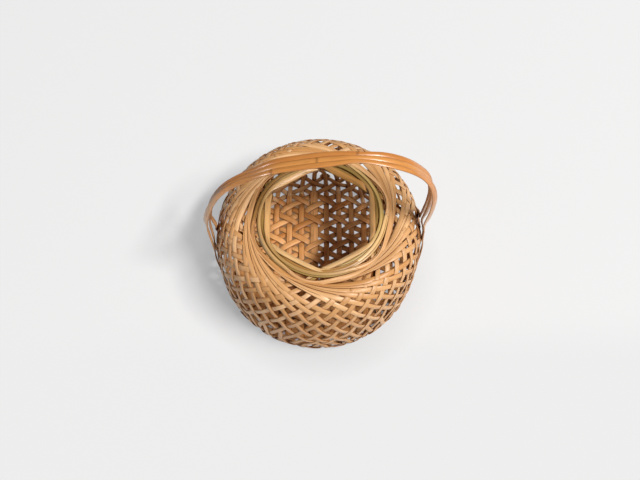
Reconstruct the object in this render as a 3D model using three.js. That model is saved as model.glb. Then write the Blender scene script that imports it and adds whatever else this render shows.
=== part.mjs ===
// A round split-bamboo flower basket with an arched handle, in millimetres, +Z up.
//
// The basket stands on its floor at z = 0, with the middle of the body on the Z axis and the
// handle arching from left to right in the XZ plane.  The front of the basket faces -Y.
//
// Floor:  three layers of flat strips that cross at 60 degrees, a triaxial weave.
// Wall:   the strips turn up at the edge of the floor and become two families that lean
//         against each other.  The inner family leans one way and is evenly spaced; the outer
//         family leans the other way and gathers into six fans at the rim.
// Rim:    six bundles nest in one another like the blades of an iris.  Each one begins as a
//         side of the six-sided mouth, spirals outward round the ring and ends at its fan.
// Handle: three flat strips side by side, splayed at their feet and laid against the wall.
import * as THREE from 'three';

// Body, measured on the outer face of the wall
const baseRadius = 86;
const bellyRadius = 102.4;
const bellyHeight = 58;
const neckRadius = 68.6;
const neckHeight = 109.5;
const footHeight = 0.3;
const lowerFullness = 2.3;
const upperFullness = 3.0;

// Wall strips
const sides = 6;
const stripsPerSide = 6;
const wallStripWidth = 4.6;
const wallStripThickness = 0.8;
const wallLayerGap = 1.0;
const fanPitchAtRim = 7.2;
const fanOpenAt = 0.28;
const innerPitchAtRim = 9;
const innerBunchAt = 0.14;
const innerStart = 185;
const wallRows = 16;
const rowTurnLength = 26;

// Slope of the strips against the level: share of the way down from the neck, degrees.  The
// outer family leaves the rim almost level with it; the inner family runs in steeply below.
const outerLean = [[0, 9], [0.1, 25], [0.2, 38], [0.3, 49], [0.46, 56], [1, 57]];
const innerLean = [[0, 38], [0.2, 40], [0.3, 49], [0.46, 56], [1, 57]];

// Floor strips
const floorPitch = 13.2;
const floorStripWidth = 4.8;
const floorCentreStripWidth = 8.6;
const floorStripThickness = 0.8;
const floorLayerGap = 0.3;
const floorStripsPerWay = 12;
const floorEdgeGap = 0.6;

// Rim
const mouthHalfFlat = 48.5;
const mouthCornerSharpness = 28;
const rimSideGap = 0.7;
const rimStandsProud = 1.5;
const rimTop = neckHeight + rimStandsProud;
const rimDepth = 8.5;
const rimCrown = 0.7;
const rimOuterDrop = 1.6;
const bundleSweep = 200;
const bundleStart = 10;
const bundleStep = 5;
const bundleGap = 0.3;
const wedgeStart = 152;
const wedgeDepth = 3;
const mouthTurn = 30;
const rimShift = 1.8;

// Handle
const handleHalfSpan = 109;
const handleHeight = 227;
const handleSpringHeight = 105;
const handleStripWidth = 4.9;
const handleStripThickness = 1.3;
const handleStripGap = 0.6;
const handleSeatGap = 0.8;
const handleRows = 44;
const handleWaist = 0.26;
const handleWaistAt = 38;
const handleWaistLength = 17;

// Middle line of the arch from spring to spring: share of the half span, share of the rise
const handleArch = [
  [-1, 0], [-0.99, 0.135], [-0.935, 0.32], [-0.815, 0.535], [-0.62, 0.712], [-0.4, 0.852], [-0.15, 0.925], [0.1, 0.975],
  [0.34, 1], [0.585, 0.955], [0.8, 0.845], [0.945, 0.67], [1, 0.46], [0.997, 0.27], [0.977, 0.12], [0.955, 0],
];

const DEG = Math.PI / 180;
const colours = { floor: 0xb98a4e, wall: 0xc79a62, fan: 0xcf9f62, rim: 0xc8a25e, handle: 0xb8692c };
const finish = (color, roughness) => new THREE.MeshStandardMaterial({ color, roughness, metalness: 0 });

// The meridian of the wall's outer face: two quarter superellipses that meet at the belly.
function meridianPoint(t) {
  const lower = t < 0.5;
  const a = lower ? (0.5 - t) * Math.PI : (t - 0.5) * Math.PI;
  const n = lower ? lowerFullness : upperFullness;
  const endRadius = lower ? baseRadius : neckRadius;
  const endHeight = lower ? footHeight : neckHeight;
  const radius = endRadius + (bellyRadius - endRadius) * Math.max(Math.cos(a), 0) ** (2 / n);
  const height = bellyHeight + (endHeight - bellyHeight) * Math.sin(a) ** (2 / n);
  return new THREE.Vector2(radius, height);
}

// The slope of a strip at a share of the way down from the neck.
function leanAt(slopes, share) {
  let k = 1;
  while (k < slopes.length - 1 && slopes[k][0] < share) k++;
  const [u0, lean0] = slopes[k - 1];
  const [u1, lean1] = slopes[k];
  return THREE.MathUtils.lerp(lean0, lean1, THREE.MathUtils.clamp((share - u0) / (u1 - u0), 0, 1));
}

// Rows of the wall from foot to neck, evenly spaced along the outer strips, and closer together
// where the meridian turns.
function meridianRows(rows) {
  const fine = 4000;
  const points = [];
  for (let i = 0; i <= fine; i++) points.push(meridianPoint(i / fine));
  const length = [0];
  const measure = [0];
  const direction = (i) => Math.atan2(points[i + 1].y - points[i].y, points[i + 1].x - points[i].x);
  let whole = 0;
  for (let i = 1; i <= fine; i++) whole += points[i].distanceTo(points[i - 1]);
  for (let i = 1; i <= fine; i++) {
    const step = points[i].distanceTo(points[i - 1]);
    const slope = leanAt(outerLean, 1 - length[i - 1] / whole);
    const turn = i < fine ? Math.abs(direction(i) - direction(i - 1)) : 0;
    length.push(length[i - 1] + step);
    measure.push(measure[i - 1] + step / Math.sin(slope * DEG) + turn * rowTurnLength);
  }
  const out = [];
  let at = 0;
  for (let k = 0; k <= rows; k++) {
    const wanted = (measure[fine] * k) / rows;
    while (at < fine && measure[at] < wanted) at++;
    const before = points[Math.max(at - 12, 0)];
    const after = points[Math.min(at + 12, fine)];
    const along = after.clone().sub(before).normalize();
    out.push({
      radius: points[at].x,
      height: points[at].y,
      outward: new THREE.Vector2(along.y, -along.x),
      fromNeck: length[fine] - length[at],
    });
  }
  // The ends run level, so that the wall meets the floor and the rim squarely.
  out[0].outward.set(0, -1);
  out[rows].outward.set(0, 1);
  return out;
}

// The rim sits a little to one side of the floor; the shift grows from the belly to the neck.
function shiftAt(height) {
  return rimShift * THREE.MathUtils.smoothstep(height, bellyHeight, neckHeight);
}

const rows = meridianRows(wallRows);
const wallLength = rows[0].fromNeck;

// How far round the axis a strip has turned on its way down from the neck, in degrees.
function turnedDown(slopes) {
  const out = new Array(wallRows + 1).fill(0);
  for (let i = wallRows - 1; i >= 0; i--) {
    // Summed in short steps, because the slope changes fast near the neck.
    const fine = 20;
    const from = rows[i + 1];
    const to = rows[i];
    let sum = 0;
    for (let k = 0; k < fine; k++) {
      const u = (k + 0.5) / fine;
      const radius = THREE.MathUtils.lerp(from.radius, to.radius, u);
      const lean = leanAt(slopes, THREE.MathUtils.lerp(from.fromNeck, to.fromNeck, u) / wallLength);
      sum += (to.fromNeck - from.fromNeck) / fine / (radius * Math.tan(lean * DEG)) / DEG;
    }
    out[i] = out[i + 1] + sum;
  }
  return out;
}
const outerTurned = turnedDown(outerLean);
const innerTurned = turnedDown(innerLean);

// A closed slab from a grid of points on its outer and inner faces.  filled(i, m) tells
// whether the cell between rows i, i + 1 and columns m, m + 1 is solid.
function slab(rowCount, columnCount, outer, inner, filled) {
  const positions = [];
  const index = [];
  const ids = new Map();
  const vertex = (i, m, face) => {
    const key = (i * columnCount + m) * 2 + face;
    if (!ids.has(key)) {
      const p = face ? inner(i, m) : outer(i, m);
      ids.set(key, positions.length / 3);
      positions.push(p.x, p.y, p.z);
    }
    return ids.get(key);
  };
  const quad = (a, b, c, d) => index.push(a, b, c, a, c, d);
  const solid = (i, m) => i >= 0 && m >= 0 && i < rowCount - 1 && m < columnCount - 1 && filled(i, m);
  for (let i = 0; i < rowCount - 1; i++) {
    for (let m = 0; m < columnCount - 1; m++) {
      if (!solid(i, m)) continue;
      const corner = (di, dm, face) => vertex(i + di, m + dm, face);
      quad(corner(0, 0, 0), corner(0, 1, 0), corner(1, 1, 0), corner(1, 0, 0));
      quad(corner(0, 0, 1), corner(1, 0, 1), corner(1, 1, 1), corner(0, 1, 1));
      if (!solid(i - 1, m)) quad(corner(0, 0, 0), corner(0, 0, 1), corner(0, 1, 1), corner(0, 1, 0));
      if (!solid(i + 1, m)) quad(corner(1, 0, 0), corner(1, 1, 0), corner(1, 1, 1), corner(1, 0, 1));
      if (!solid(i, m - 1)) quad(corner(0, 0, 0), corner(1, 0, 0), corner(1, 0, 1), corner(0, 0, 1));
      if (!solid(i, m + 1)) quad(corner(0, 1, 0), corner(0, 1, 1), corner(1, 1, 1), corner(1, 1, 0));
    }
  }
  return solidGeometry(positions, index);
}

// An indexed geometry whose faces point out, whichever way its grid was wound.
function solidGeometry(positions, index) {
  let volume = 0;
  const p = (k) => new THREE.Vector3(positions[3 * k], positions[3 * k + 1], positions[3 * k + 2]);
  for (let t = 0; t < index.length; t += 3) {
    volume += p(index[t]).dot(p(index[t + 1]).cross(p(index[t + 2])));
  }
  if (volume < 0) for (let t = 0; t < index.length; t += 3) [index[t], index[t + 1]] = [index[t + 1], index[t]];
  const geometry = new THREE.BufferGeometry();
  geometry.setAttribute('position', new THREE.Float32BufferAttribute(positions, 3));
  geometry.setIndex(index);
  geometry.computeVertexNormals();
  return geometry;
}

function piece(name, geometry, material) {
  const mesh = new THREE.Mesh(geometry, material);
  mesh.name = name;
  return mesh;
}

// One side's worth of wall strips.  way is +1 where the strips turn with +Z on their way down
// and -1 where they turn against it; depth is how far the family lies behind the outer face.
function wallFamily(way, turned, firstAngle, pitchAt, depth, reach) {
  const centre = (i, j) => firstAngle + way * turned[i] + j * pitchAt(i);
  const halfWidth = (i, j) => {
    const a = Math.max(i - 1, 0);
    const b = Math.min(i + 1, wallRows);
    const across = (centre(a, j) - centre(b, j)) * DEG * ((rows[a].radius + rows[b].radius) / 2);
    const along = rows[a].fromNeck - rows[b].fromNeck;
    const width = (wallStripWidth / 2) * (Math.hypot(across, along) / along);
    return width / rows[i].radius / DEG;
  };
  const sideGap = (i) => bundleGap / rows[i].radius / DEG;
  const edge = (i, j, side) => {
    const own = centre(i, j) + side * halfWidth(i, j);
    const neighbour = j + side;
    // The first strip of the next side stands where strip number stripsPerSide would, evenly spaced.
    let other;
    if (neighbour < 0) other = centre(i, stripsPerSide - 1) - 360 / sides;
    else if (neighbour >= stripsPerSide) other = centre(i, 0) + 360 / sides;
    else other = centre(i, neighbour);
    const share = (centre(i, j) + other) / 2 - side * sideGap(i);
    return side > 0 ? Math.min(own, share) : Math.max(own, share);
  };
  const touching = (i, j) =>
    centre(i, j) + halfWidth(i, j) + sideGap(i) > centre(i, j + 1) - halfWidth(i, j + 1) - sideGap(i);
  const columns = 2 * stripsPerSide;
  const place = (i, m, extra) => {
    const j = m >> 1;
    const angle = edge(i, j, m % 2 ? 1 : -1) * DEG;
    const back = depth + extra;
    const radius = rows[i].radius - rows[i].outward.x * back;
    const height = rows[i].height - rows[i].outward.y * back;
    return new THREE.Vector3(radius * Math.cos(angle) + shiftAt(rows[i].height), radius * Math.sin(angle), height);
  };
  const filled = (i, m) => {
    if (m % 2 === 0) return true;
    const j = m >> 1;
    if (i === wallRows - 1) return true;
    return i >= wallRows - reach && touching(i, j) && touching(i + 1, j);
  };
  return slab(wallRows + 1, columns, (i, m) => place(i, m, 0), (i, m) => place(i, m, wallStripThickness), filled);
}

const evenPitch = 360 / (sides * stripsPerSide);
const smooth = (u) => THREE.MathUtils.smoothstep(u, 0, 1);
const fanPitch = (i) =>
  THREE.MathUtils.lerp(fanPitchAtRim, evenPitch, smooth(rows[i].fromNeck / (fanOpenAt * wallLength)));
const innerPitch = (i) =>
  THREE.MathUtils.lerp(innerPitchAtRim, evenPitch, smooth(rows[i].fromNeck / (innerBunchAt * wallLength)));
const innerDepth = wallStripThickness + wallLayerGap;

const basket = new THREE.Group();

// Floor: each way's strips lie a third of a pitch off centre, so that all three ways meet at
// common crossings and leave small triangles between them.
const floor = new THREE.Group();
const floorRadius = baseRadius - floorEdgeGap;
['a', 'b', 'c'].forEach((way, layer) => {
  const group = new THREE.Group();
  group.rotation.z = layer * 120 * DEG;
  for (let k = 0; k < floorStripsPerWay; k++) {
    const offset = (k - (floorStripsPerWay / 2 - 1) - 1 / 3) * floorPitch;
    const middle = way === 'a' && k === floorStripsPerWay / 2 - 1;
    const width = middle ? floorCentreStripWidth : floorStripWidth;
    const reach = Math.sqrt(floorRadius ** 2 - (Math.abs(offset) + width / 2) ** 2);
    const strip = piece(
      `floor_strip_${way}${String(k + 1).padStart(2, '0')}`,
      new THREE.BoxGeometry(width, 2 * reach, floorStripThickness),
      finish(colours.floor, 0.55),
    );
    strip.position.set(offset, 0, floorStripThickness / 2 + layer * (floorStripThickness + floorLayerGap));
    group.add(strip);
  }
  floor.add(group);
});
basket.add(floor);

// Wall
const bundleEnd = mouthTurn + bundleSweep;
for (let k = 0; k < sides; k++) {
  const turn = (k * 360) / sides;
  basket.add(piece(`wall_inner_strips_${k + 1}`, wallFamily(-1, innerTurned, innerStart + turn, innerPitch, innerDepth, 2), finish(colours.wall, 0.55)));
  basket.add(piece(`wall_outer_fan_${k + 1}`, wallFamily(1, outerTurned, bundleEnd + turn, fanPitch, 0, wallRows), finish(colours.fan, 0.5)));
}

// Rim: the mouth is a hexagon with eased corners.  Seen in plan, every bundle follows the same
// spiral, turned by a sixth, so each lies just outside the one that begins after it.  Near its
// end a bundle draws away from the next one and leaves a narrow wedge open between them.
function mouthRadius(degrees) {
  let sum = 0;
  for (let k = 0; k < 3; k++) {
    const c = Math.abs(Math.cos((degrees - 180 / sides - k * 60) * DEG)) / mouthHalfFlat;
    sum += c ** mouthCornerSharpness;
  }
  return sum ** (-1 / mouthCornerSharpness);
}
const rimOuterRadius = neckRadius - rimSideGap;
const sixth = 360 / sides;
const spiralStart = mouthRadius(sixth) - bundleGap;
const spiral = (degrees) => spiralStart + ((rimOuterRadius - spiralStart) * degrees) / bundleSweep;
function rimBundle(turn) {
  const count = Math.round((bundleSweep - bundleStart) / bundleStep);
  const positions = [];
  const index = [];
  const ring = 5;
  for (let i = 0; i <= count; i++) {
    const at = bundleStart + (i * (bundleSweep - bundleStart)) / count;
    const apart = THREE.MathUtils.clamp((at - wedgeStart) / (bundleSweep - wedgeStart), 0, 1);
    const wedge = wedgeDepth * Math.sin(apart * Math.PI) ** 2;
    const inside = at <= sixth ? Math.max(mouthRadius(at), 0) : spiral(at - sixth) + bundleGap + wedge;
    const outside = spiral(at);
    const rise = smooth((at - bundleStart) / (sixth / 2));
    const top = rimTop - rimCrown - rimOuterDrop * (at / bundleSweep) ** 2 - (1 - rise) * rimDepth * 0.45;
    const bottom = rimTop - rimDepth;
    const angle = (turn + at) * DEG;
    const section = [
      [inside, bottom],
      [outside, bottom],
      [outside, top],
      [(inside + outside) / 2, top + rimCrown],
      [inside, top],
    ];
    for (const [r, z] of section) positions.push(r * Math.cos(angle) + rimShift, r * Math.sin(angle), z);
  }
  const at = (i, m) => i * ring + (m % ring);
  for (let i = 0; i < count; i++) {
    for (let m = 0; m < ring; m++) {
      index.push(at(i, m), at(i, m + 1), at(i + 1, m + 1), at(i, m), at(i + 1, m + 1), at(i + 1, m));
    }
  }
  for (let m = 1; m < ring - 1; m++) {
    index.push(at(0, 0), at(0, m + 1), at(0, m));
    index.push(at(count, 0), at(count, m), at(count, m + 1));
  }
  return solidGeometry(positions, index);
}
for (let k = 0; k < sides; k++) {
  basket.add(piece(`rim_bundle_${k + 1}`, rimBundle(mouthTurn + k * sixth), finish(colours.rim, 0.45)));
}

// Handle: an arch with full shoulders, highest right of the middle, each foot swept round the wall.
function wallRadiusAt(height) {
  let low = 0;
  let high = 1;
  for (let k = 0; k < 40; k++) {
    const mid = (low + high) / 2;
    if (meridianPoint(mid).y < height) low = mid;
    else high = mid;
  }
  return meridianPoint(low).x;
}
const rise = handleHeight - handleStripThickness / 2 - handleSpringHeight;
const halfSpan = handleHalfSpan - handleStripThickness / 2;
const springHalf = (side) => Math.abs(handleArch[side < 0 ? 0 : handleArch.length - 1][0]) * halfSpan;
function legPoints(side, inset, across, foot) {
  // From the foot, laid against the wall, up to the spring of the arch.
  const half = springHalf(side) - inset;
  const points = [];
  const seat = handleSeatGap + handleStripThickness / 2;
  const steps = 4;
  for (let i = 0; i <= steps; i++) {
    const u = i / steps;
    const height = neckHeight * THREE.MathUtils.lerp(foot.height, foot.leaves, u);
    const sweep = THREE.MathUtils.lerp(foot.sweep, foot.sweep * 0.55, u) * DEG;
    const radius = wallRadiusAt(height) + seat ;
    points.push(new THREE.Vector3(side * radius * Math.cos(sweep) + shiftAt(height), radius * Math.sin(sweep), height));
  }
  const between = (neckHeight * foot.leaves + handleSpringHeight) / 2;
  const last = points[points.length - 1];
  points.push(new THREE.Vector3(
    side * THREE.MathUtils.lerp(Math.abs(last.x), half, 0.55),
    THREE.MathUtils.lerp(last.y, across, 0.6),
    between,
  ));
  return points;
}
// The strips draw together a little right of the middle of the arch.
function waistAt(x) {
  return handleWaist * Math.exp(-(((x - handleWaistAt) / handleWaistLength) ** 2));
}
function handleStrip(inset, across, leftFoot, rightFoot) {
  const points = legPoints(-1, inset, across, leftFoot);
  for (const [share, up] of handleArch) {
    const x = share * halfSpan;
    points.push(new THREE.Vector3(x - share * inset, across * (1 - waistAt(x)), handleSpringHeight + up * (rise - inset * 0.2)));
  }
  points.push(...legPoints(1, inset, across, rightFoot).reverse());
  const curve = new THREE.CatmullRomCurve3(points, false, 'centripetal');
  curve.arcLengthDivisions = 800;
  const frames = [];
  for (let i = 0; i <= handleRows; i++) {
    const p = curve.getPointAt(i / handleRows);
    const along = curve.getTangentAt(i / handleRows);
    const up = Math.max(p.z - handleSpringHeight, 0) / rise;
    const out = new THREE.Vector3(p.x / handleHalfSpan, (1 - Math.min(up * 4, 1)) * (p.y / handleHalfSpan), up);
    out.addScaledVector(along, -out.dot(along)).normalize();
    frames.push({ p, out, wide: new THREE.Vector3().crossVectors(along, out).normalize() });
  }
  const place = (i, m, face) => {
    const { p, out, wide } = frames[i];
    return p.clone()
      .addScaledVector(wide, (m - 0.5) * handleStripWidth * (p.z > handleSpringHeight ? 1 - waistAt(p.x) : 1))
      .addScaledVector(out, (face - 0.5) * handleStripThickness);
  };
  return slab(handleRows + 1, 2, (i, m) => place(i, m, 1), (i, m) => place(i, m, 0), () => true);
}
const handlePitch = handleStripWidth + handleStripGap;
// Each foot: the heights of its tip and of the place where it leaves the wall, as shares of the
// neck's height, and the degrees that its tip is swept round the wall.
const handleStrips = [
  ['handle_strip_front', 0, -handlePitch, { height: 0.457, leaves: 0.603, sweep: -14 }, { height: 0.438, leaves: 0.767, sweep: -10 }],
  ['handle_strip_middle', 0.5 * handleStripWidth, 0, { height: 0.511, leaves: 0.658, sweep: -5 }, { height: 0.548, leaves: 0.767, sweep: -1.5 }],
  ['handle_strip_rear', 0.7 * handleStripWidth, handlePitch, { height: 0.694, leaves: 0.804, sweep: 3 }, { height: 0.84, leaves: 0.886, sweep: 10 }],
];
for (const [name, inset, across, leftFoot, rightFoot] of handleStrips) {
  basket.add(piece(name, handleStrip(inset, across, leftFoot, rightFoot), finish(colours.handle, 0.35)));
}

export default basket;
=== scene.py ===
import math

import bpy
import numpy as np
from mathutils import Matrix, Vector


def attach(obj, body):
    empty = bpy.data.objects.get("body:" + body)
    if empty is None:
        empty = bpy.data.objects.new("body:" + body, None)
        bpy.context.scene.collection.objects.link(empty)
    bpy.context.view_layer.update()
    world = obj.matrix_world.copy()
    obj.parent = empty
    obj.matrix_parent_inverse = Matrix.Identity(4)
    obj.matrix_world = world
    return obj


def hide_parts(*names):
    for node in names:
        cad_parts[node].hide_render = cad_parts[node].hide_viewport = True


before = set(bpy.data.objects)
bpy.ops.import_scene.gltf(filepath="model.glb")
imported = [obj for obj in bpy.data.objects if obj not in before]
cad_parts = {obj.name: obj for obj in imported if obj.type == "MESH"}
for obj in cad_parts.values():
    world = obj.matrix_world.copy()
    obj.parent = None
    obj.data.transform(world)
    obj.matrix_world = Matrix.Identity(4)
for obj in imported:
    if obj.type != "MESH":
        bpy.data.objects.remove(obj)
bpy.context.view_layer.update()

# Floor: thirty-six strips split from bamboo, twelve each way, woven flat in three directions at
# sixty degrees.  At every crossing one strip lies on top, one between and one below, and small
# triangles stay open.  At the edge of the floor the strips turn up inside the wall.
MM = 0.001
WAY_DEGREES = 120
WAY_TURN = math.radians(WAY_DEGREES)
FLOOR_WAYS, STRIPS_EACH_WAY = "abc", 12
FLOOR_PITCH, CENTRE_STRIP, CROSSING_SHIFT = 13.2, 5, 1 / 3
FLOOR_STRIP_WIDTH, FLOOR_WIDTH_SPREAD, FLOOR_CENTRE_WIDTH = 6.0, 0.3, 8.4
STRIP_THICKNESS, STRIP_EASING = 0.8, 0.22
FLOOR_MIDDLE_HEIGHT, FLOOR_LAYER_STEP, FLOOR_EDGE_RADIUS = 1.5, 1.08, 86.3
# The part of the way from crossing to crossing where a strip changes its layer.
CHANGE_START, CHANGE_LENGTH = 0.27, 0.46
# The strips stray a little sideways by hand, but run true near the floor's edge.
FLOOR_STRAY, TRUE_FROM, TRUE_LENGTH = 0.22, 76.0, 9.0
POINT_SPACING = 1.6
# Every strip has its own number in the pattern of the fibres, so that no two look the same.
FLOOR_PATTERN = 1.0
# A strip's middle stays this far above the ground and inside the wall's outer face.
MIDDLE_CLEARANCE = 0.45
BASE_RADIUS, FOOT_HEIGHT = 86.0, 0.3
BELLY_RADIUS, BELLY_HEIGHT = 102.4, 58.0
NECK_RADIUS, NECK_HEIGHT = 68.6, 109.5
LOWER_FULLNESS, UPPER_FULLNESS = 2.3, 3.0

chance = np.random.default_rng(2888)


def smooth(u):
    """An even step from 0 to 1 with soft ends."""
    u = np.clip(u, 0.0, 1.0)
    return u * u * (3.0 - 2.0 * u)


def body_profile(samples=3000):
    """The outer face of the wall from neck to foot: radius, height, outward normal, length."""
    t = np.linspace(1.0, 0.0, samples)
    lower = t < 0.5
    a = np.where(lower, (0.5 - t) * math.pi, (t - 0.5) * math.pi)
    power = 2.0 / np.where(lower, LOWER_FULLNESS, UPPER_FULLNESS)
    end_radius = np.where(lower, BASE_RADIUS, NECK_RADIUS)
    end_height = np.where(lower, FOOT_HEIGHT, NECK_HEIGHT)
    radius = end_radius + (BELLY_RADIUS - end_radius) * np.maximum(np.cos(a), 0) ** power
    height = BELLY_HEIGHT + (end_height - BELLY_HEIGHT) * np.sin(a) ** power
    length = np.concatenate([[0], np.cumsum(np.hypot(np.diff(radius), np.diff(height)))])
    even = np.linspace(0, length[-1], samples)
    radius, height = np.interp(even, length, radius), np.interp(even, length, height)
    dr, dz = np.gradient(radius), np.gradient(height)
    steep = np.hypot(dr, dz)
    return radius, height, -dz / steep, dr / steep, even


wall_radius, wall_height, wall_out_r, wall_out_z, wall_length = body_profile()
full = wall_length[-1]


def wall_place(length, depth):
    """Radius and height at a length from the neck and a depth behind the outer face."""
    out_r = np.interp(length, wall_length, wall_out_r)
    out_z = np.interp(length, wall_length, wall_out_z)
    radius = np.interp(length, wall_length, wall_radius) - out_r * depth
    height = np.interp(length, wall_length, wall_height) - out_z * depth
    return radius, height, out_r, out_z


def wander(count, size, waves=3, peak=1.6):
    """A slow hand-made wobble of about that size along a strip."""
    u = np.linspace(0, 1, count)
    out = np.zeros(count)
    for k in range(1, waves + 1):
        out += np.sin(2 * math.pi * (k * u * chance.uniform(0.7, 1.3) + chance.uniform())) / k
    return out * size / peak


def hex_colour(code):
    """An sRGB hex colour as linear red, green, blue and alpha."""
    parts = [int(code[i:i + 2], 16) / 255 for i in (1, 3, 5)]
    return tuple(c / 12.92 if c <= 0.04045 else ((c + 0.055) / 1.055) ** 2.4 for c in parts) + (1.0,)


def add_node(tree, kind, settings=None, **inputs):
    """Adds a node, gives it its settings, and sets or links its inputs by name, or by number as
    i0, i1 and so on.  A Mix has its share at i0, two numbers at i2 and i3 and two colours at i6
    and i7.  A Map Range has its value at i0, the old range at i1 and i2, the new at i3 and i4."""
    node = tree.nodes.new(kind)
    for key, value in (settings or {}).items():
        setattr(node, key, value)
    for key, value in inputs.items():
        numbered = key[0] == "i" and key[1:].isdigit()
        socket = node.inputs[int(key[1:]) if numbered else key.replace("_", " ")]
        if isinstance(value, bpy.types.NodeSocket):
            tree.links.new(value, socket)
        else:
            socket.default_value = value
    return node


def splint_tree():
    """Sweeps a flat strip with eased edges along every line of the mesh it is given."""
    tree = bpy.data.node_groups.new("bamboo splints", "GeometryNodeTree")
    sockets = {}
    for name, kind in (("Lines", "Geometry"), ("Width", "Float"), ("Thickness", "Float"),
                       ("Edge", "Float"), ("Material", "Material")):
        socket = tree.interface.new_socket(name, in_out="INPUT", socket_type="NodeSocket" + kind)
        sockets[name] = socket.identifier
    tree.interface.new_socket("Splints", in_out="OUTPUT", socket_type="NodeSocketGeometry")
    given = add_node(tree, "NodeGroupInput").outputs
    number, per_point = {"data_type": "FLOAT"}, {"data_type": "FLOAT", "domain": "POINT"}
    curve = add_node(tree, "GeometryNodeMeshToCurve", i0=given["Lines"])
    face = add_node(tree, "GeometryNodeInputNamedAttribute", {"data_type": "FLOAT_VECTOR"}, Name="face")
    turned = add_node(tree, "GeometryNodeSetCurveNormal", {"mode": "FREE"}, i0=curve.outputs[0],
                      Normal=face.outputs[0])
    spline = add_node(tree, "GeometryNodeSplineParameter")
    along = add_node(tree, "GeometryNodeStoreNamedAttribute", per_point, Name="along",
                     Geometry=turned.outputs[0], Value=spline.outputs["Length"])
    section = add_node(tree, "GeometryNodeCurvePrimitiveQuadrilateral", Width=given["Thickness"],
                       Height=given["Width"])
    eased = add_node(tree, "GeometryNodeFilletCurve", {"mode": "POLY"}, Curve=section.outputs[0],
                     Count=1, Radius=given["Edge"])
    place = add_node(tree, "GeometryNodeInputPosition")
    split = add_node(tree, "ShaderNodeSeparateXYZ", Vector=place.outputs[0])
    half = add_node(tree, "ShaderNodeMath", {"operation": "MULTIPLY"}, i0=given["Width"], i1=0.5)
    share = add_node(tree, "ShaderNodeMath", {"operation": "DIVIDE"}, i0=split.outputs["Y"],
                     i1=half.outputs[0])
    across = add_node(tree, "GeometryNodeStoreNamedAttribute", per_point, Name="across",
                      Geometry=eased.outputs[0], Value=share.outputs[0])
    girth = add_node(tree, "GeometryNodeInputNamedAttribute", number, Name="girth")
    swept = add_node(tree, "GeometryNodeCurveToMesh", Curve=along.outputs[0],
                     Profile_Curve=across.outputs[0], Scale=girth.outputs[0], Fill_Caps=True)
    soft = add_node(tree, "GeometryNodeSetShadeSmooth", Geometry=swept.outputs[0])
    real = add_node(tree, "GeometryNodeRealizeInstances", Geometry=soft.outputs[0])
    done = add_node(tree, "GeometryNodeSetMaterial", Geometry=real.outputs[0], Material=given["Material"])
    add_node(tree, "NodeGroupOutput", Splints=done.outputs[0])
    return tree, sockets


splints, splint_sockets = splint_tree()


def weave_piece(name, strips, width, thickness, edge, material, node):
    """One named piece of swept strips.  A strip has its points and faces in mm, and its tone,
    girth, knots, skin colour and number along the way.  Where rim strips lie buried, the knots carry
    painted shade, and on the handle the skin colour carries a painted sheen."""
    mesh = bpy.data.meshes.new(name)
    points = np.concatenate([strip["points"] for strip in strips]) * MM
    edges = []
    start = 0
    for strip in strips:
        end = start + len(strip["points"])
        edges += [(i, i + 1) for i in range(start, end - 1)]
        start = end
    mesh.from_pydata(points.tolist(), edges, [])
    for key in ("face", "tone", "girth", "knot", "skin", "strip"):
        usual = 1.0 if key == "girth" else 0.0
        kind, field, size = ("FLOAT_VECTOR", "vector", (3,)) if key == "face" else ("FLOAT", "value", ())
        values = [np.broadcast_to(np.asarray(strip.get(key, usual), float), (len(strip["points"]),) + size)
                  for strip in strips]
        mesh.attributes.new(key, kind, "POINT").data.foreach_set(field, np.concatenate(values).ravel())
    lines = bpy.data.objects.new(name + " lines", mesh)
    bpy.context.scene.collection.objects.link(lines)
    modifier = lines.modifiers.new("splints", "NODES")
    modifier.node_group = splints
    for key, value in (("Width", width * MM), ("Thickness", thickness * MM), ("Edge", edge * MM),
                       ("Material", material)):
        modifier[splint_sockets[key]] = value
    evaluated = lines.evaluated_get(bpy.context.evaluated_depsgraph_get())
    woven = bpy.data.meshes.new_from_object(evaluated)
    bpy.data.objects.remove(lines)
    woven.name = name
    if not woven.materials:
        woven.materials.append(material)
    piece = bpy.data.objects.new(name, woven)
    bpy.context.scene.collection.objects.link(piece)
    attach(piece, "root")
    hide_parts(node)


def square_to(faces, points):
    """Faces turned square to the run of the strip, and the run itself."""
    along = np.gradient(points, axis=0)
    along /= np.linalg.norm(along, axis=1, keepdims=True)
    faces = faces - along * np.sum(faces * along, axis=1, keepdims=True)
    return faces / np.linalg.norm(faces, axis=1, keepdims=True), along


# Real fibres are 0.2 mm wide; these are drawn 1 mm wide and about 20 mm long, so that they show.
# Aged patches are about 45 mm long and wider than a strip.  The scales are for a metre along the
# strip, for half its width, and from strip to strip.
FIBRE_SCALE, PATCH_SCALE = (48.0, 2.3, 3.71), (22.0, 0.35, 5.13)
FIBRE_RELIEF, FIBRE_DEPTH, LACQUER_FILL, LACQUER_ROUGHNESS = 0.35, 0.0004, 1.3, 0.3
# The warm brown of the painted shade where strips shade each other and inside the basket.
PAINTED_SHADE_BROWN = "#602602"


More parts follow.
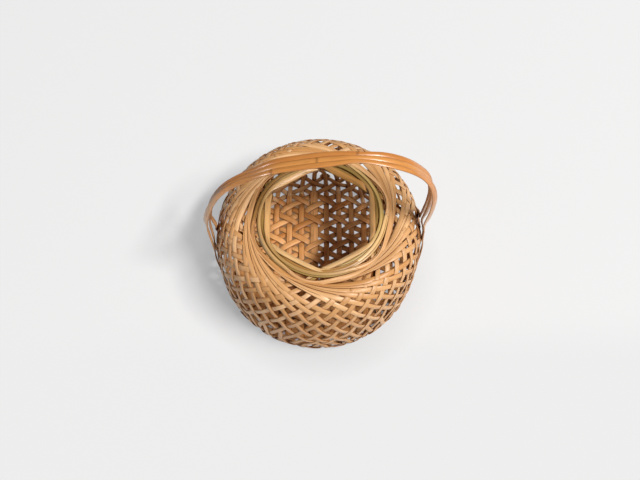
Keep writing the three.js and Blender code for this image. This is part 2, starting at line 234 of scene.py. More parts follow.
def bamboo_material(name, colours, roughness, coat=0.0, painted_shade_depth=0.92, painted_shade_reach=0.06):
    """Split bamboo: straight fibres along the strip, tone from strip to strip, darker edges that are
    partly painted shade, and painted shade where strips shade each other.
    """
    material = bpy.data.materials.new(name)
    material.use_nodes = True
    tree = material.node_tree
    tree.nodes.clear()
    paint = {key: hex_colour(code) for key, code in colours.items()}
    paint["painted_shade"] = hex_colour(PAINTED_SHADE_BROWN)
    read = {key: add_node(tree, "ShaderNodeAttribute", {"attribute_name": key}).outputs["Fac"]
            for key in ("along", "across", "tone", "knot", "skin", "strip")}
    seat = add_node(tree, "ShaderNodeCombineXYZ", X=read["along"], Y=read["across"], Z=read["strip"])
    scaled, mixed = {"operation": "MULTIPLY"}, {"data_type": "RGBA"}
    fibre_at = add_node(tree, "ShaderNodeVectorMath", scaled, i0=seat.outputs[0], i1=FIBRE_SCALE)
    fibres = add_node(tree, "ShaderNodeTexNoise", Vector=fibre_at.outputs[0], Scale=1.0, Detail=4.0,
                      Roughness=0.65)
    patch_at = add_node(tree, "ShaderNodeVectorMath", scaled, i0=seat.outputs[0], i1=PATCH_SCALE)
    patches = add_node(tree, "ShaderNodeTexNoise", Vector=patch_at.outputs[0], Scale=1.0, Detail=2.0)
    side = add_node(tree, "ShaderNodeMath", {"operation": "ABSOLUTE"}, i0=read["across"])
    # Painted shade: where strips shade each other, and inside the basket, the colour is painted a warm
    # brown and the gloss is dimmed, by the ambient occlusion node.
    painted_shade_occlusion = add_node(tree, "ShaderNodeAmbientOcclusion", {"samples": 6}, Distance=painted_shade_reach)
    share = {"knot": read["knot"]}
    for key, value, low, high, at_low, at_high in (
        ("streak", fibres.outputs[0], 0.48, 0.72, 0.0, 0.62),
        ("aged", patches.outputs[0], 0.5, 0.75, 0.0, 0.5),
        # Darker edges: partly the browner cut edges of the bamboo, partly painted shade for the gaps
        # between strips.
        ("edge", side.outputs[0], 0.8, 1.0, 0.0, 0.5),
        ("painted_shade", painted_shade_occlusion.outputs["AO"], 0.8, 0.34, 0.0, painted_shade_depth),
        ("gloss", painted_shade_occlusion.outputs["AO"], 0.45, 0.95, 0.0, 0.5),
        ("rough", fibres.outputs[0], 0.3, 0.7, roughness - 0.06, roughness + 0.1),
    ):
        ranged = add_node(tree, "ShaderNodeMapRange", i0=value, i1=low, i2=high, i3=at_low, i4=at_high)
        share[key] = ranged.outputs[0]
    flesh = add_node(tree, "ShaderNodeMix", mixed, i0=read["tone"], i6=paint["pale"], i7=paint["deep"])
    colour = flesh.outputs[2]
    if "skin_pale" in paint:
        rind = add_node(tree, "ShaderNodeMix", mixed, i0=read["tone"], i6=paint["skin_pale"],
                        i7=paint["skin_deep"])
        layer = add_node(tree, "ShaderNodeMix", mixed, i0=read["skin"], i6=colour, i7=rind.outputs[2])
        colour = layer.outputs[2]
    for key, tint in (("streak", "fibre"), ("aged", "deep"), ("edge", "edge"), ("knot", "knot"),
                      ("painted_shade", "painted_shade")):
        layer = add_node(tree, "ShaderNodeMix", mixed, i0=share[key], i6=colour, i7=paint[tint])
        colour = layer.outputs[2]
    # Lacquer fills most of the grain.
    relief = add_node(tree, "ShaderNodeBump", Strength=FIBRE_RELIEF * (1 - LACQUER_FILL * coat),
                      Distance=FIBRE_DEPTH, Height=fibres.outputs[0])
    shader = add_node(tree, "ShaderNodeBsdfPrincipled", Base_Color=colour, Roughness=share["rough"],
                      Normal=relief.outputs[0], Specular_IOR_Level=share["gloss"],
                      Coat_Weight=coat, Coat_Roughness=LACQUER_ROUGHNESS)
    add_node(tree, "ShaderNodeOutputMaterial", Surface=shader.outputs[0])
    return material


# Split bamboo dried to a golden tan: matt flesh side, faint straight fibres, browner cut edges
# whose darkness is partly painted shade for the gaps between strips.
floor_bamboo = bamboo_material(
    "split bamboo floor strips",
    {"pale": "#F4B878", "deep": "#C68444", "fibre": "#9A5E2C", "edge": "#6A3410", "knot": "#7A4A22"},
    roughness=0.5, painted_shade_depth=0.84)


def strip_offset(k):
    """How far strip k of a direction lies from the middle.  The shift brings the crossings of the
    three directions together."""
    return (k - CENTRE_STRIP - CROSSING_SHIFT) * FLOOR_PITCH


def floor_lift(k, points):
    """How far strip k lies above the middle of the weave.  Over, between, under: its state steps by
    one from crossing to crossing.  The points are flat, with the strip's own run along Y."""
    aslant = points[:, 0] * math.cos(WAY_TURN) + points[:, 1] * math.sin(WAY_TURN)
    crossing = aslant / FLOOR_PITCH + CENTRE_STRIP + CROSSING_SHIFT
    low = np.floor(crossing)
    states = np.array([1.0, 0.0, -1.0])
    before = states[np.mod(k - low, 3).astype(int)]
    after = states[np.mod(k - low - 1, 3).astype(int)]
    change = smooth((crossing - low - CHANGE_START) / CHANGE_LENGTH)
    return FLOOR_LAYER_STEP * (before * (1 - change) + after * change)


def weave_place(points, lift):
    """Points and faces for flat points of the weave.  Past the floor's edge distance out becomes
    distance up the wall."""
    reach = np.hypot(points[:, 0], points[:, 1])
    past = np.maximum(reach - BASE_RADIUS, 0)
    away, up, out_r, out_z = wall_place(full - past, FLOOR_MIDDLE_HEIGHT - FOOT_HEIGHT + lift)
    away = np.where(past > 0, away, reach)
    up = np.maximum(np.where(past > 0, up, FLOOR_MIDDLE_HEIGHT + lift), MIDDLE_CLEARANCE)
    out = points / reach[:, None]
    faces = np.stack([-out[:, 0] * out_r, -out[:, 1] * out_r, -out_z], 1)
    faces[past == 0] = (0, 0, 1)
    return np.stack([out[:, 0] * away, out[:, 1] * away, up], 1), faces


def weave_line(way, k, reach, stray=0.0):
    """Points and faces of strip k of one direction, out to that distance from the middle."""
    offset = strip_offset(k)
    half = math.sqrt(reach ** 2 - offset ** 2)
    y = np.linspace(-half, half, int(2 * half / POINT_SPACING))
    x = np.full(len(y), offset)
    if stray:
        x += wander(len(y), stray) * (1 - smooth((np.hypot(offset, y) - TRUE_FROM) / TRUE_LENGTH))
    flat = np.stack([x, y], 1)
    points, faces = weave_place(flat, floor_lift(k, flat))
    turn = way * WAY_TURN
    spin = np.array([[math.cos(turn), -math.sin(turn), 0], [math.sin(turn), math.cos(turn), 0], [0, 0, 1]])
    points = points @ spin.T
    return points, square_to(faces @ spin.T, points)[0]


# The two ends of every strip, sorted by the wall family that they run on into: bearing at the
# floor's edge in degrees, direction, number and which end.
floor_ends = {1: [], -1: []}
for way, letter in enumerate(FLOOR_WAYS):
    for k in range(STRIPS_EACH_WAY):
        offset = strip_offset(k)
        bearing = math.degrees(math.acos(offset / BASE_RADIUS))
        for end in (1, -1):
            family = -1 if end * offset > 0 else 1
            floor_ends[family].append(((WAY_DEGREES * way + end * bearing) % 360, way, k, end))
        points, faces = weave_line(way, k, FLOOR_EDGE_RADIUS, FLOOR_STRAY)
        if way == 0 and k == CENTRE_STRIP:
            width = FLOOR_CENTRE_WIDTH
        else:
            width = FLOOR_STRIP_WIDTH + chance.uniform(-FLOOR_WIDTH_SPREAD, FLOOR_WIDTH_SPREAD)
        strip = {"points": points, "face": faces, "tone": chance.uniform(0.05, 0.95),
                 "strip": way * STRIPS_EACH_WAY + k + FLOOR_PATTERN}
        weave_piece(f"floor_splint_{letter}{k + 1:02d}", [strip], width, STRIP_THICKNESS, STRIP_EASING,
                    floor_bamboo, f"floor_strip_{letter}{k + 1:02d}")

# Wall: the strips stand up from the floor's edge as two families of thirty-six, one leaning each
# way, woven over one and under one.  The inner family, here, runs in steeply under the rim.
SIDES, STRIPS_IN_GROUP, SIDE_TURN, LATTICE_PITCH = 6, 6, 60, 10
WALL_STRIP_WIDTH, WALL_MIDDLE_DEPTH, WALL_WEAVE = 4.85, 1.3, 0.4
WALL_STRAY, INNER_WAVER, GIRTH_SPREAD, WEAVE_SQUARENESS = 0.5, 0.1, 0.07, 2.0
# Each family's lean in degrees from level, by share of the way down from the neck.
OUTER_LEAN = [(0, 9), (0.1, 25), (0.2, 38), (0.3, 49), (0.46, 56), (1, 57)]
INNER_LEAN = [(0, 38), (0.2, 40), (0.3, 49), (0.46, 56), (1, 57)]
# Near the rim the strips lie closer than the lattice, and those of a fan in pairs.
FAN_PITCH_AT_RIM, FAN_OPEN_AT = 7.2, 0.28
PAIRING, PAIRED_TO = 0.45, 0.18
INNER_PITCH_AT_RIM, INNER_BUNCH_AT, INNER_START = 9.0, 0.14, 185.0
INNER_SINK, INNER_SINK_TO = 1.5, 0.12
# The hidden start of an inner strip: its length, and how far it goes inward, round and down.
TUCK_START, TUCK_END, TUCK_POINTS = 4.0, 1.2, 8
TUCK_INWARD, TUCK_ROUND, TUCK_DOWN = 0.9, 1.05, 0.45
MOUTH_TURN, BUNDLE_SWEEP, RIM_SHIFT = 30.0, 200.0, 1.8
# Distances up the wall from its foot: where the floor's weave ends and where the lattice begins.
FOOT_WEAVE, LATTICE_FROM, JOIN_LENGTH = 24.0, 58.0, 9.0
# Degrees by which a floor strip runs ahead of the wall strip that it becomes.
FOOT_LEAD = 10
# The share of the way down where the strips of both families begin to weave.
WOVEN_FROM, WOVEN_OVER = 0.05, 0.09
HOOP_NUMBERS = ((-2, -1), (12, 13))
WALL_ROWS, WALL_PATTERN, HOOP_PATTERN = 112, 50.0, 200.0
# Strip numbers that reach past a full turn, and the turns that find a floor strip for each.
STRIP_NUMBERS, LAPS = np.arange(-60, 96), range(-5, 8)

# Split bamboo of the wall: a quieter tan than the floor and a little smoother, with softer edges.
wall_bamboo = bamboo_material(
    "split bamboo wall strips",
    {"pale": "#E2B688", "deep": "#C6925C", "fibre": "#AC763A", "edge": "#8A5626", "knot": "#7A4A22"},
    roughness=0.46, painted_shade_reach=0.035)


def shift_at(height):
    """How far the upper wall stands over to the right, because the rim isn't quite central."""
    return RIM_SHIFT * smooth((height - BELLY_HEIGHT) / (NECK_HEIGHT - BELLY_HEIGHT))


def lean_along(slopes, length):
    """The lean in radians at a length from the neck."""
    share, degrees = zip(*slopes)
    return np.radians(np.interp(length / full, share, degrees))


def turned_down(slopes):
    """Degrees that a strip has turned round the axis on its way down from the neck."""
    rate = np.degrees(1 / (wall_radius * np.tan(lean_along(slopes, wall_length))))
    return np.concatenate([[0], np.cumsum((rate[1:] + rate[:-1]) / 2 * np.diff(wall_length))])


# Rows of the wall, evenly spaced along the outer strips.
outer_steps = np.diff(wall_length) / np.sin(lean_along(OUTER_LEAN, wall_length[1:]))
outer_length = np.concatenate([[0], np.cumsum(outer_steps)])
run = np.interp(np.linspace(0, outer_length[-1], WALL_ROWS), outer_length, wall_length)
radius, height, out_r, out_z = wall_place(run, 0.0)
outer_turned = np.interp(run, wall_length, turned_down(OUTER_LEAN))
inner_turned = np.interp(run, wall_length, turned_down(INNER_LEAN))
fan_opened, inner_opened = smooth(run / (FAN_OPEN_AT * full)), smooth(run / (INNER_BUNCH_AT * full))
fan_pitch = FAN_PITCH_AT_RIM + (LATTICE_PITCH - FAN_PITCH_AT_RIM) * fan_opened
inner_pitch = INNER_PITCH_AT_RIM + (LATTICE_PITCH - INNER_PITCH_AT_RIM) * inner_opened
from_foot = full - run
foot_reach = BASE_RADIUS + from_foot
bend_length = LATTICE_FROM - FOOT_WEAVE
into_bend = ((from_foot - FOOT_WEAVE) / bend_length).clip(0, 1)
in_lattice = smooth((from_foot - FOOT_WEAVE) / JOIN_LENGTH)
woven = smooth((run / full - WOVEN_FROM) / WOVEN_OVER)


def family_angles(way):
    """Degrees round the axis of the strips of one family, row by row, and each one's floor strip.
    Each runs straight on from its floor strip and then bends into the even lattice."""
    if way > 0:
        start, turned, pitch = MOUTH_TURN + BUNDLE_SWEEP, outer_turned, fan_pitch
    else:
        start, turned, pitch = INNER_START, inner_turned, inner_pitch
    side, j = np.divmod(STRIP_NUMBERS[:, None], STRIPS_IN_GROUP)
    angles = start + SIDE_TURN * side + way * turned + j * pitch
    if way > 0:
        angles = angles + (j % 2 == 0) * (PAIRING * (1 - smooth(run / (PAIRED_TO * full))) * pitch)
    count = len(angles)
    above = np.array([np.interp(LATTICE_FROM, from_foot[::-1], row[::-1]) for row in angles])
    gains = [np.gradient(row, from_foot) for row in angles]
    above_gain = np.array([np.interp(LATTICE_FROM, from_foot[::-1], gain[::-1]) for gain in gains])
    ends = sorted((bearing + 360 * lap, floor_way, k, end)
                  for bearing, floor_way, k, end in floor_ends[way] for lap in LAPS)
    bearings, _, numbers, signs = (np.array(column) for column in zip(*ends))
    offsets = strip_offset(numbers)
    bases = bearings - signs * np.degrees(np.arccos(offsets / BASE_RADIUS))
    bend_radius = BASE_RADIUS + FOOT_WEAVE
    at_bend = bases + signs * np.degrees(np.arccos(offsets / bend_radius))
    bend_gain = signs * np.degrees(offsets / (bend_radius * np.sqrt(bend_radius ** 2 - offsets ** 2)))
    # The run of floor strips that meets the family's strips with the least bending.
    wanted = above + way * FOOT_LEAD
    nearest = int(np.searchsorted(at_bend, wanted[0]))
    first = min(range(nearest - 3, nearest + 4), key=lambda n: np.abs(at_bend[n:n + count] - wanted).sum())
    mine = slice(first, first + count)
    bases, signs, offsets = bases[mine, None], signs[mine, None], offsets[mine, None]
    straight = bases + signs * np.degrees(np.arccos(offsets / foot_reach))
    t = into_bend
    bend = ((2 * t ** 3 - 3 * t ** 2 + 1) * at_bend[mine, None]
            + (t ** 3 - 2 * t ** 2 + t) * bend_length * bend_gain[mine, None]
            + (3 * t ** 2 - 2 * t ** 3) * above[:, None]
            + (t ** 3 - t ** 2) * bend_length * above_gain[:, None])
    angles = np.where(from_foot < LATTICE_FROM, bend, angles)
    angles = np.where(from_foot < FOOT_WEAVE, straight, angles)
    return angles, [end[1:] for end in ends[mine]]


outer_angles, outer_ends = family_angles(1)
inner_angles, inner_ends = family_angles(-1)


def place_among(angle, angles):
    """At each row, which strip of the other family a strip is passing, as a number with its part."""
    return np.array([np.interp(angle[i], angles[:, i], STRIP_NUMBERS) for i in range(WALL_ROWS)])


def over_under(number, passing):
    """1 where the outer family's strip lies on top at a crossing, and -1 where the inner one's does."""
    phase = math.pi * (passing + number)
    return np.tanh(WEAVE_SQUARENESS * np.cos(phase)) / math.tanh(WEAVE_SQUARENESS)


def depth_at_foot(depth, angle, floor_end):
    """Brings a strip from its place in the lattice to its place in the weave that it leaves."""
    way, k, _ = floor_end
    bearing = np.radians(angle - WAY_DEGREES * way)
    lift = floor_lift(k, np.stack([foot_reach * np.cos(bearing), foot_reach * np.sin(bearing)], 1))
    return depth * in_lattice + (FLOOR_MIDDLE_HEIGHT - FOOT_HEIGHT + lift) * (1 - in_lattice)


def wall_path(angle, depth):
    """Points and faces of one wall strip, from the neck to the foot."""
    away = radius - out_r * depth
    bearing = np.radians(angle)
    right = away * np.cos(bearing) + shift_at(height)
    points = np.stack([right, away * np.sin(bearing), height - out_z * depth], 1)
    return points, np.stack([out_r * np.cos(bearing), out_r * np.sin(bearing), out_z], 1)


inner_sunk = INNER_SINK * (1 - smooth(run / (INNER_SINK_TO * full)))
tuck = np.linspace(TUCK_START, TUCK_END, TUCK_POINTS)
for side in range(SIDES):
    strips = []
    for j in range(STRIPS_IN_GROUP):
        number = side * STRIPS_IN_GROUP + j
        row = np.where(STRIP_NUMBERS == number)[0][0]
        angle = inner_angles[row]
        over = -over_under(number, place_among(angle, outer_angles)) * woven - (1 - woven)
        depth = WALL_MIDDLE_DEPTH - WALL_WEAVE * over + inner_sunk + wander(WALL_ROWS, INNER_WAVER)
        depth = depth_at_foot(depth, angle, inner_ends[row])
        angle = angle + np.degrees(wander(WALL_ROWS, WALL_STRAY) * woven * in_lattice / radius)
        points, faces = wall_path(angle, depth)
        # Beyond the neck the strip runs on inward and down, out of sight under the rim.
        away, bearing = NECK_RADIUS - TUCK_INWARD * tuck, np.radians(angle[0] + TUCK_ROUND * tuck)
        under = np.stack([away * np.cos(bearing) + RIM_SHIFT, away * np.sin(bearing),
                          NECK_HEIGHT - depth[0] - TUCK_DOWN * tuck], 1)
        points = np.concatenate([under, points])
        faces = np.concatenate([np.tile(faces[0], (TUCK_POINTS, 1)), faces])
        faces, _ = square_to(faces, points)
        strips.append({"points": points, "face": faces, "tone": chance.uniform(0.0, 1.0),
                       "strip": number + WALL_PATTERN,
                       "girth": 1.0 + chance.uniform(-GIRTH_SPREAD, GIRTH_SPREAD)})
    # Low on the wall the floor's weave goes on, with two short strips more on this side.
    for k in HOOP_NUMBERS[side % 2]:
        points, faces = weave_line(side // 2, k, BASE_RADIUS + FOOT_WEAVE)
        strips.append({"points": points, "face": faces, "tone": chance.uniform(0.4, 1.0),
                       "strip": side * 4 + k + HOOP_PATTERN})
    weave_piece(f"wall_lattice_{side + 1}", strips, WALL_STRIP_WIDTH, STRIP_THICKNESS, STRIP_EASING,
                wall_bamboo, f"wall_inner_strips_{side + 1}")

# Rim and fans: at the mouth the strips turn over in six bundles.  Each bundle starts as one side
# of the six-sided mouth, spirals outward round the ring under the next ones, and leaves it as a
# fan whose strips overlap like shingles and then weave down the outside of the wall.
MOUTH_HALF_FLAT, MOUTH_SHARPNESS, MOUTH_SPAN = 48.5, 70.0, 60
BUNDLE_START, BUNDLE_SPLIT, BUNDLE_POINTS, FREED_OVER = -24.0, 150.0, 124, 60
BUNDLE_GAP, RIM_INSET = 0.3, 0.7
WEDGE_START, WEDGE_DEPTH = 142.0, 4.6
RIM_CREST, RIM_CREST_RADIUS, RIM_ROUNDING = 112.2, 58.0, 0.026
RIM_LAP, SIDE_TILT, RIM_EASING = 6.0, 34.0, 0.2
FAN_RISE, FAN_WAVER, FAN_PATTERN = 1.1, 0.08, 300.0
# The fan strips lap like shingles until they lie this far apart.
STEEPEST_LAP, LAP_ENDS_AT, LAP_ENDS_OVER = 0.42, 3.8, 1.6
# Degrees round the ring: where a side strip widens and narrows, and where a bundle nears the neck.
WIDE_FROM, WIDENS_OVER, NARROW_FROM, NARROWS_OVER, NECK_APPROACH = -2, 16, 42, 22, 25
# Limits of the ring's formulas: degrees back round the corner, and the radii of the rounding.
CORNER_BACK, RING_INSIDE, RING_OUTSIDE = -35, 46, 70
# How unevenly the strips of the ring lie by hand: in lean, sideways, and up and down.
LEAN_SPREAD, SIDE_STRAY, RING_STRAY, RING_WAVER = 0.1, 0.3, 0.75, 0.3
# The start of a bundle dips under its neighbour: by how much, to where and over how many degrees.
START_DIPS = ((2.2, 1, 12), (3.6, -22, 16))
# The six strips of a bundle: width, depth under the crest, and place from inside to outside.
# Number 5 is the flat side of the mouth, 3 and 1 show on the ring, and the others fill the gaps.
RING_WIDTHS, SIDE_WIDTH = (5.3, 4.8, 5.3, 3.1, 5.3, 3.1), 6.5
RING_DEPTHS = (2.4, 1.1, 2.4, 0.5, 2.4, 0.0)
RING_PLACES = (1.0, 0.75, 0.6, 1.0, 0.2, 0.0)
SIDE_STRIP, RING_TOP = 5, (1, 3, 5)
# For each bundle, how much green skin shows on the side strip and on the others on top.
GREEN_SKIN = [(0.6, 0.9), (0.3, 0.5), (0.5, 1.0), (0.3, 0.4), (0.8, 1.0), (0.9, 1.0)]
# Degrees round the ring where the green ends and where it starts on a side strip.  Then the
# painted shade on the strips that lie buried: how dark, where it ends and over how many degrees.
GREEN_ENDS_AT, GREEN_ENDS_OVER, SIDE_GREENS_AT, SIDE_GREENS_OVER = 120, 50, 46, 30
BURIED_DARK, BURIED_TO, BURIED_OVER = 0.85, 135, 40
# How deep the strip along each side of the mouth is in colour.  The depths were set side by side
# to how each side is lit, so they are painted light and shade.
SIDE_TONES = [1.0, 0.4, 0.6, 0.1, 0.0, 0.6]

# Split bamboo with some of its skin left on: smoother and glossier, in tan and olive green.  Its
# near-black edge colour is painted shade for the dark gaps between the strips.
rim_bamboo = bamboo_material(
    "split bamboo rim with skin",
    # Here the knot colour is the painted shade on strips that lie buried under the ring.
    {"pale": "#EAC088", "deep": "#C08A4A", "fibre": "#7E4A1E", "edge": "#3E1E08", "knot": "#52300F",
     "skin_pale": "#B69A54", "skin_deep": "#665222"},
    roughness=0.36)
# The wall's bamboo where hands have rubbed it: a touch warmer and glossier.
fan_bamboo = bamboo_material(
    "split bamboo fan strips",
    {"pale": "#E4B684", "deep": "#C89056", "fibre": "#AE7638", "edge": "#8A5626", "knot": "#7A4A22"},
    roughness=0.42, painted_shade_reach=0.035)


def mouth_radius(degrees):
    """The inside of the mouth: six flat sides with slightly rounded corners."""
    total = np.zeros_like(degrees)
    for k in range(SIDES // 2):
        facing = np.abs(np.cos(np.radians(degrees - MOUTH_TURN - k * SIDE_TURN)))
        total += (facing / MOUTH_HALF_FLAT) ** MOUTH_SHARPNESS
    return total ** (-1 / MOUTH_SHARPNESS)


spiral_start = float(mouth_radius(np.array([MOUTH_SPAN], float))[0]) - BUNDLE_GAP
rim_outer_radius = NECK_RADIUS - RIM_INSET
fan_spacing = np.radians(fan_pitch) * radius * np.sin(lean_along(OUTER_LEAN, run))
lapped = 1 - smooth((fan_spacing - LAP_ENDS_AT) / LAP_ENDS_OVER)
fan_tilt = np.arcsin(np.minimum(STRIP_THICKNESS / fan_spacing, STEEPEST_LAP)) * lapped
fan_depth = WALL_MIDDLE_DEPTH - WALL_WEAVE + FAN_RISE * np.sin(fan_tilt)


def spiral(at):
    """Radius of the outer edge of a bundle, by degrees from its start."""
    return spiral_start + (rim_outer_radius - spiral_start) * at / BUNDLE_SWEEP


def bundle_strip(k, j):
    """One strip in its bundle, from beneath the mouth's corner to where it leaves for the wall."""
    leaves = BUNDLE_SWEEP + (j + PAIRING * (j % 2 == 0)) * FAN_PITCH_AT_RIM
    at = np.linspace(BUNDLE_START, leaves, BUNDLE_POINTS)
    freed = smooth((at - (leaves - FREED_OVER)) / FREED_OVER)
    on_side = smooth((at - WIDE_FROM) / WIDENS_OVER) * (1 - smooth((at - NARROW_FROM) / NARROWS_OVER))
    width = RING_WIDTHS[j] + (SIDE_WIDTH - RING_WIDTHS[j]) * on_side * (j == SIDE_STRIP)
    width = WALL_STRIP_WIDTH + (width - WALL_STRIP_WIDTH) * (1 - freed)
    straight = MOUTH_HALF_FLAT / np.cos(np.radians(at.clip(CORNER_BACK, MOUTH_SPAN) - MOUTH_TURN))
    in_wedge = ((at - WEDGE_START) / (BUNDLE_SWEEP - WEDGE_START)).clip(0, 1)
    wedge = WEDGE_DEPTH * np.sin(math.pi * in_wedge) ** 2
    inside = np.where(at <= MOUTH_SPAN, mouth_radius(at), spiral(at - MOUTH_SPAN) + BUNDLE_GAP + wedge)
    inside = np.where(at < 0, straight, inside)
    outside = np.where(at < 0, straight + spiral_start - MOUTH_HALF_FLAT, spiral(at.clip(0, BUNDLE_SWEEP)))
    # The ring is rounded.  Its innermost strips lean into the mouth, and each laps over the next inward.
    lean = math.radians(SIDE_TILT) * on_side * (j == SIDE_STRIP)
    lean = lean + chance.uniform(-LEAN_SPREAD, LEAN_SPREAD)
    lean = lean * (1 - freed)
    across = width * np.cos(lean)
    spread = np.maximum(outside - inside - across, 0)
    placed = inside + across / 2 + spread * RING_PLACES[j]
    middle = np.where(outside - inside > across, placed, (inside + outside) / 2)
    stray = wander(len(at), SIDE_STRAY if j == SIDE_STRIP else RING_STRAY)
    middle = middle + stray * (1 - freed) + wedge / 2
    neared_from = BUNDLE_SWEEP - NECK_APPROACH
    to_neck = smooth((at - neared_from) / (leaves - neared_from))
    middle = middle + (NECK_RADIUS - middle) * to_neck
    from_crest = middle.clip(RING_INSIDE, RING_OUTSIDE) - RIM_CREST_RADIUS
    slope = np.arctan(-2 * RIM_ROUNDING * from_crest) * (1 - on_side) - math.radians(RIM_LAP)
    tilt = slope * (1 - freed) + fan_tilt[0] * freed + lean
    sunk = sum(dip * (1 - smooth((at - begin) / over)) for dip, begin, over in START_DIPS)
    z = RIM_CREST - RIM_ROUNDING * from_crest ** 2 - sunk - STRIP_THICKNESS / 2
    z = z - (RING_DEPTHS[j] + wander(len(at), RING_WAVER)) * (1 - freed)
    z = z + (NECK_HEIGHT - fan_depth[0] - z) * freed
    bearing = np.radians(MOUTH_TURN + SIDE_TURN * k + at)
    points = np.stack([middle * np.cos(bearing) + RIM_SHIFT, middle * np.sin(bearing), z], 1)
    faces = np.stack([-np.sin(tilt) * np.cos(bearing), -np.sin(tilt) * np.sin(bearing), np.cos(tilt)], 1)
    return at, points, faces, width / WALL_STRIP_WIDTH


for k in range(SIDES):
    ring_strips, fan_strips = [], []
    for j in range(STRIPS_IN_GROUP):
        at, ring_points, ring_faces, ring_girth = bundle_strip(k, j)
        # The fan that bundle k becomes begins where its sweep ends.
        number = k * STRIPS_IN_GROUP + j
        row = np.where(STRIP_NUMBERS == number)[0][0]
        angle = outer_angles[row]
        over = over_under(number, place_among(angle, inner_angles)) * woven + (1 - woven)
        depth = WALL_MIDDLE_DEPTH - WALL_WEAVE * over + FAN_RISE * np.sin(fan_tilt)
        depth = depth_at_foot(depth + wander(WALL_ROWS, FAN_WAVER) * woven, angle, outer_ends[row])
        angle = angle + np.degrees(wander(WALL_ROWS, WALL_STRAY) * woven * in_lattice / radius)
        points, faces = wall_path(angle, np.maximum(depth, MIDDLE_CLEARANCE))
        faces, along = square_to(faces, points)
        inward = -np.cross(along, faces)
        faces = faces * np.cos(fan_tilt)[:, None] + inward * np.sin(fan_tilt)[:, None]
        points = np.concatenate([ring_points[:-1], points])
        faces = np.concatenate([ring_faces[:-1], faces])
        girth = np.concatenate([ring_girth[:-1], np.ones(WALL_ROWS)])
        on_ring = at[:-1]
        green = 1 - smooth((on_ring - GREEN_ENDS_AT) / GREEN_ENDS_OVER)
        if j == SIDE_STRIP:
            green = green * GREEN_SKIN[k][0] * smooth((on_ring - SIDE_GREENS_AT) / SIDE_GREENS_OVER)
        else:
            green = green * GREEN_SKIN[k][1] * (j in RING_TOP)
        # Painted shade: the buried strips are painted dark, through the knot colour, until they come out
        # from under the ring.
        buried = (j not in RING_TOP) * BURIED_DARK * (1 - smooth((on_ring - BURIED_TO) / BURIED_OVER))
        skin, dark = (np.concatenate([value, np.zeros(WALL_ROWS)]) for value in (green, buried))
        for _ in range(2):
            points[1:-1] = (points[:-2] + 2 * points[1:-1] + points[2:]) / 4
        faces, _ = square_to(faces, points)
        tone = chance.uniform(0.0, 1.0)
        if j == SIDE_STRIP:
            tone = SIDE_TONES[k]
        split = int(np.argmax(at > BUNDLE_SPLIT))
        for strips, part in ((ring_strips, slice(0, split + 2)), (fan_strips, slice(split, None))):
            strips.append({"points": points[part], "face": faces[part], "girth": girth[part],
                           "skin": skin[part], "knot": dark[part], "tone": tone,
                           "strip": number + FAN_PATTERN})
    weave_piece(f"rim_spiral_{k + 1}", ring_strips, WALL_STRIP_WIDTH, STRIP_THICKNESS, RIM_EASING,
                rim_bamboo, f"rim_bundle_{k + 1}")
    weave_piece(f"wall_fan_{k + 1}", fan_strips, WALL_STRIP_WIDTH, STRIP_THICKNESS, STRIP_EASING,
                fan_bamboo, f"wall_outer_fan_{k + 1}")

# Handle: three flat strips of thick bamboo side by side, skin side out, bent to an arch that is
# highest right of the middle.  Their feet are splayed, laid against the wall and tucked into it.
HANDLE_HALF_SPAN, HANDLE_HEIGHT, HANDLE_SPRING = 109.0, 227.0, 105.0
# The strips are spaced by the first width and the gap, and shown a little wider, close together.
HANDLE_WIDTH, HANDLE_SHOWN_WIDTH, HANDLE_GAP = 4.9, 5.3, 0.6
HANDLE_THICKNESS, HANDLE_EASING, HANDLE_PATTERN = 1.3, 0.3, 500.0
HANDLE_SEAT, HANDLE_TUCK, LEG_POINTS, HANDLE_POINTS = 0.8, 2.6, 5, 340
# Where the strips draw together: by how much, how far right of the middle, over what length.
HANDLE_WAIST, HANDLE_WAIST_AT, HANDLE_WAIST_LENGTH = 0.26, 38.0, 17.0
HANDLE_LAP, HANDLE_LAP_AT, HANDLE_LAP_LENGTH = 0.3, -76.0, 24.0
# Heights where the legs are twisted and straight again, and where their painted sheen ends.
LEG_TWIST, TWIST_FROM, TWISTS_OVER, STRAIGHT_FROM, STRAIGHTENS_OVER = 1.5, 96, 22, 168, 34
PALE_LEFT, PALE_LEFT_OVER, PALE_RIGHT, PALE_RIGHT_OVER, PAINTED_SHEEN_STRENGTH = 178, 50, 150, 40, 0.85
KNOT_HALF_LENGTH, KNOT_SWELL, KNOT_DARK, ARCH_FROM = 1.1, 0.06, 0.6, 150
# The foot's splay is half lost on the way up, and the leg then bends over to meet the arch.
SPLAY_LOST, MEETS_SPAN, MEETS_PLACE = 0.45, 0.55, 0.6
ARCH_NESTING, FACES_UP_BY, LINE_STEPS = 0.2, 4, 24
# The arch as shares of the half span and of the rise over the springing.
HANDLE_ARCH = [
    (-1, 0), (-0.99, 0.135), (-0.935, 0.32), (-0.815, 0.535), (-0.62, 0.712), (-0.4, 0.852),
    (-0.15, 0.925), (0.1, 0.975), (0.34, 1), (0.585, 0.955), (0.8, 0.845), (0.945, 0.67),
    (1, 0.46), (0.997, 0.27), (0.977, 0.12), (0.955, 0),
]

# Bamboo skin darkened to orange-brown and rubbed with lacquer: a clear gloss over long fibres.
handle_bamboo = bamboo_material(
    "lacquered bamboo handle",
    {"pale": "#D89650", "deep": "#BE7638", "fibre": "#A05C26", "edge": "#96602E", "knot": "#6A3A1C",
     # The skin colours here paint the pale sheen on the legs and the left shoulder.
     "skin_pale": "#E0BA90", "skin_deep": "#CC9C6C"},
    roughness=0.28, coat=0.6, painted_shade_depth=0.3)

handle_rise = HANDLE_HEIGHT - HANDLE_THICKNESS / 2 - HANDLE_SPRING
half_span = HANDLE_HALF_SPAN - HANDLE_THICKNESS / 2


